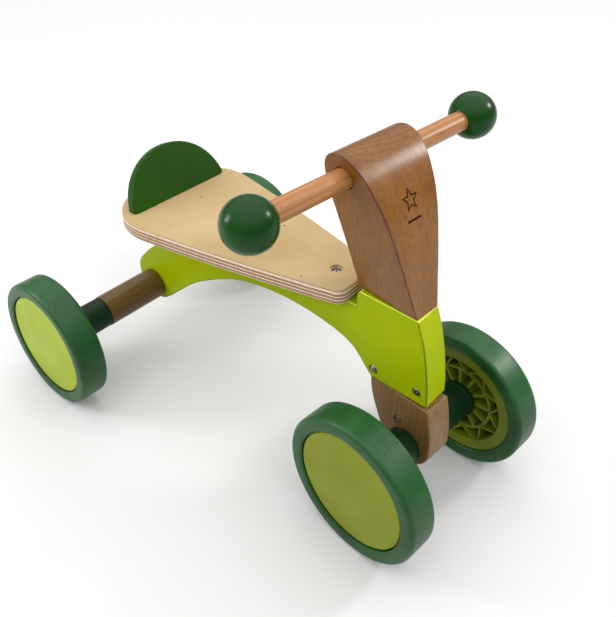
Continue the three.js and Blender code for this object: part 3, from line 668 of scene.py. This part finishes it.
PIVOT_X = Matrix.Translation((SEAT_PIVOT[0] * MM, 0, 0))
PIVOT_Z = Matrix.Translation((0, 0, SEAT_PIVOT[1] * MM))
SEAT_PLACE = CHASSIS @ PIVOT_X @ PIVOT_Z @ Matrix.Rotation(-SEAT_TILT, 4, "Y") @ PIVOT_X.inverted()
SEAT_SCREWS = [("front", 282.6), ("rear", 158)]
SCREW_SUNK = 3
SCREW_TURN = 0.5
SCREW_HEAD_RADIUS = 5
SCREW_HEAD_FLAT = 2.2
SCREW_RADIUS = 2.4
RECESS_ARM = (2.4, 0.5)


def seat_screw(name, x):
    """A pan-headed screw with a cross recess, sunk in its pocket in the seat."""
    top = -SCREW_SUNK
    shank = [(-46, 0), (-42, SCREW_RADIUS), (-5.6, SCREW_RADIUS), (-5.6, SCREW_HEAD_RADIUS)]
    head = dome(top, SCREW_HEAD_FLAT, SCREW_HEAD_RADIUS, HEAD_DOME)[::-1] + [(top, SCREW_HEAD_FLAT), (top, 0)]
    screw = draw(f"seat_screw_{name}_shown", upright(lathe(shank + head, 48, closed=False)))
    arms = [plate(rectangle(-a, a, -b, b), -5, 0) for a, b in (RECESS_ARM, RECESS_ARM[::-1])]
    combine(screw, arms)
    screw.matrix_world = SEAT_PLACE @ Matrix.Translation((x * MM, 0, 0)) @ Matrix.Rotation(SCREW_TURN, 4, "Z")
    finish(screw, STEEL, "chassis", "steel", f"seat_screw_{name}")


# ---- seat and backrest -------------------------------------------------------------------------------

SEAT_REAR = (2.3, 91, 64)  # place along X, half width and corner radius
SEAT_FRONT = (311.2, 27.4, 11)
SEAT_BULGE = 4.5
BACKREST_FOOT = 52
BACKREST_LEAN = math.radians(25)
BACKREST_RADIUS = 66
BACKREST_SUNK = 6
BACKREST_THICKNESS = 12
BACKREST_CORNER = 6
BACKREST_EASE = 1.8
SEAT_EASE = 3
DOWEL_SIDES = (-38, 38)
DOWEL_HOLE_FLOOR = -11.4
DOWEL_HOLE_TOP = 18.3


def seat_outline():
    """The seat from above: bulging sides that narrow forwards, and round corners that meet them."""
    length = SEAT_FRONT[0] - SEAT_REAR[0]

    def side(x):
        along = (x - SEAT_REAR[0]) / length
        return SEAT_REAR[1] + (SEAT_FRONT[1] - SEAT_REAR[1]) * along + 4 * SEAT_BULGE * along * (1 - along)

    def corner(end, towards, steps):
        x, _, radius = end
        centre = x + towards * radius
        touch = math.pi / 2 + math.atan(side(centre + 0.5) - side(centre - 0.5))
        middle = side(centre + radius * math.cos(touch)) - radius * math.sin(touch)
        return arc(centre, middle, radius, 180 if towards > 0 else 0, math.degrees(touch), steps)

    sides = [(x, side(x)) for x in (SEAT_REAR[0] + length * (0.3 + 0.62 * i / 20) for i in range(21))]
    left = corner(SEAT_REAR, 1, 40) + sides + corner(SEAT_FRONT, -1, 14)[::-1]
    return outline(left, [(x, -y) for x, y in left[::-1]])


def seat():
    board = draw("seat_board_shown", plate(seat_outline()[::-1], -SEAT_THICKNESS, 0), SEAT_PLACE)
    ease(board, SEAT_EASE, segments=6)
    pocket = [(-6, 0), (-6, 6), (-0.6, 6.1), (0.5, 6.8), (0.5, 0)]
    holes = []
    for _, x in SEAT_SCREWS:
        holes.append(upright(lathe(pocket, 48, closed=False), x))
        holes.append(upright(rod(SCREW_BORE, -THROUGH, 1, 24), x))
    lean = Matrix.Rotation(SEAT_TILT - BACKREST_LEAN, 3, "Y")
    for side in DOWEL_SIDES:
        points, faces = upright(rod(DOWEL_BORE, -THROUGH, 6, 24), -BACKREST_THICKNESS / 2, side)
        turned = [lean @ Vector(point) for point in points]
        holes.append(([(p.x + BACKREST_FOOT, p.y, max(p.z, DOWEL_HOLE_FLOOR)) for p in turned], faces))
    combine(board, holes)
    finish(board, BIRCH, "chassis", "birch_ply", "seat_board")


def backrest():
    """A leaning half disc, its foot cut to lie flat on the seat."""
    half_foot = math.sqrt(BACKREST_RADIUS**2 - BACKREST_SUNK**2)
    start = math.degrees(math.asin((BACKREST_SUNK + BACKREST_CORNER) / BACKREST_RADIUS))
    rim = arc(0, -BACKREST_SUNK, BACKREST_RADIUS, start, 180 - start, 72)
    foot = smooth([rim[-1], (-half_foot + 0.6, 2.2), (-half_foot + 5, 0), (-half_foot + 8, -4)], 4)
    base = [(8 - half_foot, -14), (half_foot - 8, -14)]
    points, faces = plate(outline(rim, foot, base, [(-y, z) for y, z in foot[::-1]]), -BACKREST_THICKNESS, 0)
    upright_disc = [(x, y, z) for y, z, x in points], faces
    place = CHASSIS @ Matrix.Translation((BACKREST_FOOT * MM, 0, seat_top(BACKREST_FOOT) * MM))
    board = draw("backrest_shown", upright_disc, place @ Matrix.Rotation(-BACKREST_LEAN, 4, "Y"))
    ease(board, BACKREST_EASE, segments=4)
    tilt = Matrix.Rotation(BACKREST_LEAN - SEAT_TILT, 3, "Y")
    corners, sides = plate(rectangle(-120, 120, -150, 150), -60, CLEARANCE)
    below_seat = [tuple(tilt @ Vector(corner)) for corner in corners], sides
    hole = rod(DOWEL_BORE, -20, DOWEL_HOLE_TOP, 24)
    holes = [upright(hole, -BACKREST_THICKNESS / 2, side) for side in DOWEL_SIDES]
    combine(board, [below_seat] + holes)
    finish(board, DARK_GREEN, "chassis", "green_paint", "backrest")


# ---- steered column ----------------------------------------------------------------------------------

STEM_TOP = 374.5
STEM_FOOT_HALF = 14.8
STEM_HEAD_HALF = 43.4
BAR = (318, 352.3)
BAR_RADIUS = 9.8
BAR_HOLE_RADIUS = 10.8
BALL_RADIUS = 23.4
BALL_SPREAD = 141
FRONT_AXLE_X = 391
BLOCK_EASE = 1.8
TONGUE_HALF = 3.3
STEM_TONGUE = (348, 376, SEAM_TOP - 5, 256.3)  # from and to along X, and from and to up Z
BLOCK_TONGUE = (360, 389, 85.7, SEAM_BOTTOM - SEAM_GAP + 5)
LOCK_DEPTH = 19.4  # from the bar's middle to the floor of its screw's hole
STAR_HEIGHT = 333
STAR_RADII = (10, 4.6)  # of its points and of the corners between them
STAR_LINE = 2
STAR_BAR = (-8.5, 8.5, STAR_HEIGHT - 17.2, STAR_HEIGHT - 15.4)
BURN = (-0.6, 0.25)  # how deep and how proud the burnt lines are drawn


def stem_half(z):
    """Half the stem's width, which grows evenly from its foot to the bar."""
    return STEM_FOOT_HALF + (STEM_HEAD_HALF - STEM_FOOT_HALF) * (z - SEAM_TOP) / (STEM_TOP - SEAM_TOP)


def stem_front():
    foot = SEAM_TOP + SEAM_GAP
    return [(388.6, foot), (382.2, 253), (375, 282), (366, 313), (357.7, 334), (349.2, 349)]


def stem_outline():
    head = [(340.8, 360.6), (329.8, 370), (316.5, STEM_TOP), (303.4, 370.8), (297, 362.5)]
    rear = [(295.4, 351), (298, 331), (302.8, 309), (308.7, 284), (314.3, 257), (320.2, SEAM_TOP + SEAM_GAP)]
    return outline(smooth(stem_front() + head + rear))


def tongue_slot(rear, front, low, high):
    """The slot for one of the spindle's flat tongues."""
    return plate(rectangle(rear - CLEARANCE, front + CLEARANCE, -TONGUE_HALF, TONGUE_HALF), low, high)


def stem():
    thing = draw("upper_stem_shown", tapered_plate(stem_outline(), stem_half), FRONT_END)
    ease(thing, BOARD_EASE)
    points, faces = rod(LOCK_BORE, -40, -LOCK_DEPTH, 32)
    lock_hole = [(y + BAR[0], x, z + BAR[1]) for x, y, z in points], faces
    bar_hole = along_y(rod(BAR_HOLE_RADIUS, -70, 70, 64), *BAR)
    spindle_hole = upright(rod(SPINDLE_END, -5, 5.3, 32), STEER_X, 0, SEAM_TOP)
    combine(thing, [bar_hole, tongue_slot(*STEM_TONGUE), lock_hole, spindle_hole])
    finish(thing, STEM_BEECH, "front_end", "beech", "upper_stem", edge=STEM_EDGE)


def star_corners(shrink):
    """The star's outline, drawn in by shrink all round, with four points to each straight stretch."""
    corners = []
    for i in range(10):
        radius = STAR_RADII[0] - shrink if i % 2 == 0 else STAR_RADII[1] - 0.7 * shrink
        corners.append(Vector((radius * math.sin(math.pi * i / 5), radius * math.cos(math.pi * i / 5))))
    return [a.lerp(b, k / 4) for a, b in zip(corners, corners[1:] + corners[:1]) for k in range(4)]


def burnt_star():
    """A small plain star outline burnt into the front of the stem, with a short bar under it."""
    front = smooth(stem_front(), 24)

    def surface_x(z):
        for (x0, z0), (x1, z1) in zip(front, front[1:]):
            if z0 <= z <= z1:
                return x0 + (x1 - x0) * (z - z0) / (z1 - z0)
        return front[-1][0]

    drawn = [
        (corner.x, corner.y + STAR_HEIGHT, lift)
        for lift in BURN for shrink in (0, STAR_LINE) for corner in star_corners(shrink)]
    count = len(drawn) // 4
    faces = []
    for first, second in ((0, 2), (2, 3), (3, 1), (1, 0)):
        for i in range(count):
            j = (i + 1) % count
            faces.append((first * count + i, first * count + j, second * count + j, second * count + i))
    bar, bar_faces = plate(rectangle(*STAR_BAR), *BURN)
    faces += [tuple(len(drawn) + i for i in face) for face in bar_faces]
    points = [(surface_x(z) + lift, y, z) for y, z, lift in drawn + bar]
    star = draw("burnt_star", (points, faces), FRONT_END)
    finish(star, BURNT, "front_end", "beech")


def block():
    top = SEAM_BOTTOM - SEAM_GAP
    shape = outline(
        smooth([(341, top), (342.8, 116), (347, 101.5), (352.5, 88.5), (356.6, 79)]),
        arc(388.3, 80, 30.5, 192, 368),
        smooth([(418.2, 96), (416, 112), (411.6, top)]))
    thing = draw("lower_block_shown", upright_plate(shape, -BOARD_HALF, BOARD_HALF), FRONT_END)
    ease(thing, BLOCK_EASE, segments=4)
    holes = cross_bolt_holes(*BLOCK_BOLT, *BLOCK_POCKET)
    holes.append(along_y(rod(AXLE_BORE, -THROUGH, THROUGH), FRONT_AXLE_X, AXLE_HEIGHT))
    holes.append(tongue_slot(*BLOCK_TONGUE))
    holes.append(upright(rod(SPINDLE_END, -5.3, 5, 32), STEER_X, 0, SEAM_BOTTOM))
    combine(thing, holes)
    finish(thing, BLOCK_BEECH, "front_end", "beech", "lower_block")


def handlebar():
    end = BALL_SPREAD
    profile = rounded([(-end, 0, 0), (-end, BAR_RADIUS, 1), (end, BAR_RADIUS, 1), (end, 0, 0)])
    place = FRONT_END @ Matrix.Translation((BAR[0] * MM, 0, BAR[1] * MM))
    thing = draw("handlebar_shown", lathe(profile, 64, closed=False), place)
    finish(thing, BAR_BEECH, "front_end", "bar_beech", "handlebar")


def handle_ball(name, side):
    """A turned ball with a drilled socket for the bar."""
    mouth = BAR_RADIUS + 0.5
    open_angle = math.degrees(math.asin(mouth / BALL_RADIUS))
    sweep = arc(0, 0, BALL_RADIUS, 180, open_angle, 72)
    mouth_y = math.sqrt(BALL_RADIUS**2 - mouth**2)
    socket = [(mouth_y - 0.6, mouth - 0.5), (-CLEARANCE, mouth - 0.3), (-CLEARANCE, 0)]
    ball = [(y, max(radius, 0)) for y, radius in sweep] + socket
    drawing = along_y(lathe(ball, 96, closed=False), flip=side > 0)
    place = FRONT_END @ Matrix.Translation((BAR[0] * MM, side * BALL_SPREAD * MM, BAR[1] * MM))
    thing = draw(f"handle_ball_{name}_shown", drawing, place)
    finish(thing, GLOSS_GREEN, "front_end", "green_gloss", f"handle_ball_{name}")


# ---- rear sleeves ------------------------------------------------------------------------------------

def sleeve(name, side):
    low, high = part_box(f"rear_sleeve_{name}")
    start = min(abs(low.y), abs(high.y)) / MM
    end = max(abs(low.y), abs(high.y)) / MM
    radius = (high.z - low.z) / 2 / MM
    profile = rounded([(start, AXLE_BORE, 0), (start, radius, 1.8), (end, radius, 1), (end, AXLE_BORE, 0)])
    place = Matrix.Translation((REAR_AXLE.x, 0, REAR_AXLE.z))
    thing = draw(f"rear_sleeve_{name}_shown", along_y(lathe(profile, 64), flip=side < 0), place)
    finish(thing, SLEEVE_BEECH, "chassis", "sleeve_beech", f"rear_sleeve_{name}")


# ---- wheels ------------------------------------------------------------------------------------------
# A wheel is drawn about Y with its inner face at 0 and its outer face at WHEEL_WIDTH.

TYRE_BORE = 62
TYRE_LIP = 66
COVER_RADIUS = 61
RIM_RADIUS = 61.6
RIM_WALL = 2.5
RIM_LIP = 2.5
RECESS_RADIUS = 50
RECESS_FLOOR = 18
HUB_RADIUS = 15
HUB_FACE = 6.3
RING_RADIUS = 36.5
RING_HALF = 1.5
RIB_TOP = 6.5
RIB_FOOT = RECESS_FLOOR + 1
SPOKES = 12
SPOKE_WIDTH = 3.4
TRUSSES = 9
TRUSS_WIDTH = 1.9
TRUSS_TOP = 5
TRUSS_LEAN = 17
INNER_SHOULDER = 4
OUTER_SHOULDER = 8.5
BARREL_END = WHEEL_WIDTH - 4.4
HUB_END = WHEEL_WIDTH - 7.6
COVER_BACK = WHEEL_WIDTH - 3.9
COVER_EDGE = WHEEL_WIDTH - 2.5
COLLAR_REACH = {"rear": 49, "front": 50.2}
COLLAR_RADIUS = 18.6
COLLAR_FLANGE = 19.8


def tyre_drawing():
    side = WHEEL_WIDTH
    profile = [
        (1.5, TYRE_BORE, 0), (0.6, TYRE_BORE + 1.2, 0.5), (0, TYRE_LIP, 1), (0, WHEEL_RADIUS, INNER_SHOULDER),
        (side, WHEEL_RADIUS, OUTER_SHOULDER), (side, TYRE_LIP, 1), (side - 0.5, TYRE_BORE + 1.2, 0.8),
        (side - 1.6, TYRE_BORE, 0)]
    return lathe(rounded(profile, steps=9), 128)


def cover_drawing():
    """A disc with an eased rim and a slightly domed face."""
    profile = [
        (COVER_BACK, 0, 0), (COVER_BACK, COVER_RADIUS - 1, 0.3), (COVER_EDGE - 1, COVER_RADIUS, 0.5),
        (COVER_EDGE, COVER_RADIUS - 0.8, 0.5), (COVER_EDGE + 0.3, 54, 3), (COVER_EDGE + 0.8, 30, 8),
        (COVER_EDGE + 1, 0, 0)]
    return lathe(rounded(profile, steps=4), 96, closed=False)


def collar_drawing(reach):
    """A sleeve towards the middle of the axle, with a flange against the hub."""
    profile = [
        (-reach, AXLE_BORE, 0), (-reach, COLLAR_RADIUS, 1.4), (-2, COLLAR_RADIUS + 0.5, 3),
        (0.5, COLLAR_FLANGE, 1), (6, COLLAR_FLANGE, 0.5), (6, AXLE_BORE, 0)]
    return lathe(rounded(profile), 64)


def rim_drawing():
    """The hub, the web at the floor of the recess and the barrel that carries the tyre."""
    wall = RIM_RADIUS - RIM_WALL
    back = RECESS_FLOOR + 3
    profile = [
        (HUB_FACE, AXLE_BORE, 0), (HUB_FACE, HUB_RADIUS, 1), (RECESS_FLOOR, HUB_RADIUS + 0.6, 1),
        (RECESS_FLOOR, RECESS_RADIUS - 1, 1.5), (RIM_LIP, RECESS_RADIUS, 0.8), (RIM_LIP, RIM_RADIUS, 0.4),
        (BARREL_END, RIM_RADIUS, 0.4), (BARREL_END, wall, 0), (back, wall, 0), (back, HUB_RADIUS, 0),
        (HUB_END, HUB_RADIUS, 0), (HUB_END, AXLE_BORE, 0)]
    return lathe(rounded(profile, steps=3), 72)


def polar(radius, degrees):
    return (radius * math.cos(math.radians(degrees)), radius * math.sin(math.radians(degrees)))


def rim_mesh():
    """The ribbed inside of a wheel: spokes out to a ring, and a zigzag truss from the ring to the wall."""
    thing = draw("wheel_rim", rim_drawing())
    ring = [
        (RIB_TOP, RING_RADIUS - RING_HALF), (RIB_TOP, RING_RADIUS + RING_HALF),
        (RIB_FOOT, RING_RADIUS + RING_HALF), (RIB_FOOT, RING_RADIUS - RING_HALF)]
    ribs = []
    for i in range(SPOKES):
        angle = 360 / SPOKES * i + 7
        foot, tip = polar(HUB_RADIUS - 1, angle), polar(RING_RADIUS, angle)
        ribs.append(bar_between(foot, tip, SPOKE_WIDTH, RIB_TOP, RIB_FOOT))
    for i in range(TRUSSES):
        angle = 360 / TRUSSES * i + 4
        for lean in (-TRUSS_LEAN, TRUSS_LEAN):
            foot, tip = polar(RING_RADIUS, angle), polar(RECESS_RADIUS + 1, angle + lean)
            ribs.append(bar_between(foot, tip, TRUSS_WIDTH, TRUSS_TOP, RIB_FOOT))
    combine(thing, [lathe(ring, 72)] + ribs, "UNION")
    mesh = thing.data
    bpy.data.objects.remove(thing)
    return mesh


def wheel(end, name, side, parts):
    joint = JOINTS[f"{end}_{name}_wheel_spin"]
    turn = STEER_ANGLE if end == "front" else 0
    facing = Matrix.Rotation(turn if side > 0 else turn + math.pi, 4, "Z")
    place = Matrix.Translation(joint["pos_m"]) @ facing @ Matrix.Translation((0, -WHEEL_WIDTH / 2 * MM, 0))
    for part, (mesh, material, slot) in parts.items():
        thing = put(f"{part}_{end}_{name}_shown", mesh.copy(), place)
        finish(thing, material, f"wheel_{end}_{name}", slot, f"{part}_{end}_{name}")


def wheels():
    rim = rim_mesh()
    tyre = drawn_mesh("tyre", tyre_drawing())
    cover = drawn_mesh("wheel_cover", cover_drawing())
    for end, reach in COLLAR_REACH.items():
        parts = {
            "wheel_rim": (rim, RIM, "rim_plastic"),
            "tyre": (tyre, TYRE, "tyre_green"),
            "wheel_cover": (cover, COVERS_WITH_PAINTED_SHADE[end], "cover_plastic"),
            "hub_collar": (drawn_mesh("hub_collar", collar_drawing(reach)), COLLAR, "collar_plastic")}
        for name, side in (("right", -1), ("left", 1)):
            wheel(end, name, side, parts)


# ---- hidden and small parts that keep their CAD shape ------------------------------------------------

CAD_LOOKS = {
    "steering_bush": NYLON, "steering_spindle": STEEL, "axle_retainer": STEEL, "rear_axle": STEEL,
    "front_axle": STEEL, "backrest_dowel": SLEEVE_BEECH, "handlebar_lock_screw": DARK_STEEL}


def paint_cad_parts():
    for name, node in frame["nodes"].items():
        for start, material in CAD_LOOKS.items():
            if name.startswith(start):
                node.data.materials.clear()
                node.data.materials.append(material)


# ---- studio ------------------------------------------------------------------------------------------

VIEW_TARGET = Vector((238.85 * MM + REAR_AXLE.x, 0, 262.48 * MM + LIFT))
VIEW_AZIMUTH = 41.73
VIEW_ELEVATION = 32.54
VIEW_DISTANCE = 0.7172
SENSOR = 36
LENS_IN_SENSORS = 1.18882
LENS_SHIFT = (0.0081, -0.1434)
ROOM_CENTRE = Vector((0, 0, 0.17))
FLOOR_HALF = 6000
FLOOR_TOP = -0.2


def direction(azimuth, elevation):
    """Where the azimuth, from -Y towards +X, and the elevation point, in degrees."""
    azimuth, elevation = math.radians(azimuth), math.radians(elevation)
    flat = math.cos(elevation)
    return Vector((math.sin(azimuth) * flat, -math.cos(azimuth) * flat, math.sin(elevation)))


def aim(name, data, target, away, distance):
    """A camera or a light at a distance from its target, looking at it."""
    thing = put(name, data)
    thing.location = target + away * distance
    thing.rotation_euler = away.to_track_quat("Z", "Y").to_euler()
    return thing


def camera():
    lens = bpy.data.cameras.new("camera")
    lens.sensor_width = SENSOR
    lens.lens = SENSOR * LENS_IN_SENSORS
    lens.shift_x, lens.shift_y = LENS_SHIFT
    lens.clip_start = 0.01
    away = direction(VIEW_AZIMUTH, VIEW_ELEVATION)
    bpy.context.scene.camera = aim("camera", lens, VIEW_TARGET, away, VIEW_DISTANCE)


def softbox(name, azimuth, elevation, distance, size, power):
    light = bpy.data.lights.new(name, "AREA")
    light.shape = "RECTANGLE"
    light.size, light.size_y = size
    light.energy = power
    aim(name, light, ROOM_CENTRE, direction(azimuth, elevation), distance)


def floor():
    square = rectangle(-FLOOR_HALF, FLOOR_HALF, -FLOOR_HALF, FLOOR_HALF)
    ground = draw("floor", plate(square, FLOOR_TOP - 20, FLOOR_TOP))
    surface = Surface("floor", 0.9, specular=0.1)
    surface.colour(surface.ramp(surface.noise(0.6, detail=1), [(0.3, 0.58), (0.7, 0.6)]))
    ground.data.materials.append(surface.material)


def sky():
    """Soft white light from all round, brighter from above."""
    world = bpy.data.worlds.new("studio")
    bpy.context.scene.world = world
    world.use_nodes = True
    nodes, links = world.node_tree.nodes, world.node_tree.links
    split = nodes.new("ShaderNodeSeparateXYZ")
    links.new(nodes.new("ShaderNodeTexCoord").outputs["Generated"], split.inputs[0])
    brightness = nodes.new("ShaderNodeMapRange")
    brightness.interpolation_type = "SMOOTHSTEP"
    for name, value in (("From Min", 0.05), ("From Max", 1), ("To Min", 0.22), ("To Max", 2.2)):
        brightness.inputs[name].default_value = value
    links.new(split.outputs["Z"], brightness.inputs["Value"])
    links.new(brightness.outputs["Result"], nodes["Background"].inputs["Strength"])
    nodes["Background"].inputs["Color"].default_value = (1, 1, 1, 1)


def studio():
    bpy.context.scene.view_settings.view_transform = "Standard"
    camera()
    floor()
    softbox("front window", 143, 31, 1.8, (0.27, 0.21), 11)
    softbox("side window", -46, 22, 1.35, (0.28, 0.38), 6)
    sky()


# ---- assembly ----------------------------------------------------------------------------------------

frame_board()
seat()
backrest()
for bolt_name, bolt_x, bolt_z in FRAME_BOLTS:
    button_bolt(f"frame_bolt_{bolt_name}", bolt_x, bolt_z, FRAME_BOLT_SUNK, CHASSIS, "chassis")
    cap_nut(f"frame_nut_{bolt_name}", bolt_x, bolt_z, FRAME_BOLT_SUNK, CHASSIS, "chassis")
button_bolt("block_bolt", *BLOCK_BOLT, BLOCK_BOLT_SUNK, FRONT_END, "front_end")
cap_nut("block_nut", *BLOCK_BOLT, BLOCK_BOLT_SUNK, FRONT_END, "front_end")
for screw_name, screw_x in SEAT_SCREWS:
    seat_screw(screw_name, screw_x)
stem()
burnt_star()
block()
handlebar()
for side_name, side_sign in (("right", -1), ("left", 1)):
    handle_ball(side_name, side_sign)
    sleeve(side_name, side_sign)
wheels()
paint_cad_parts()
studio()
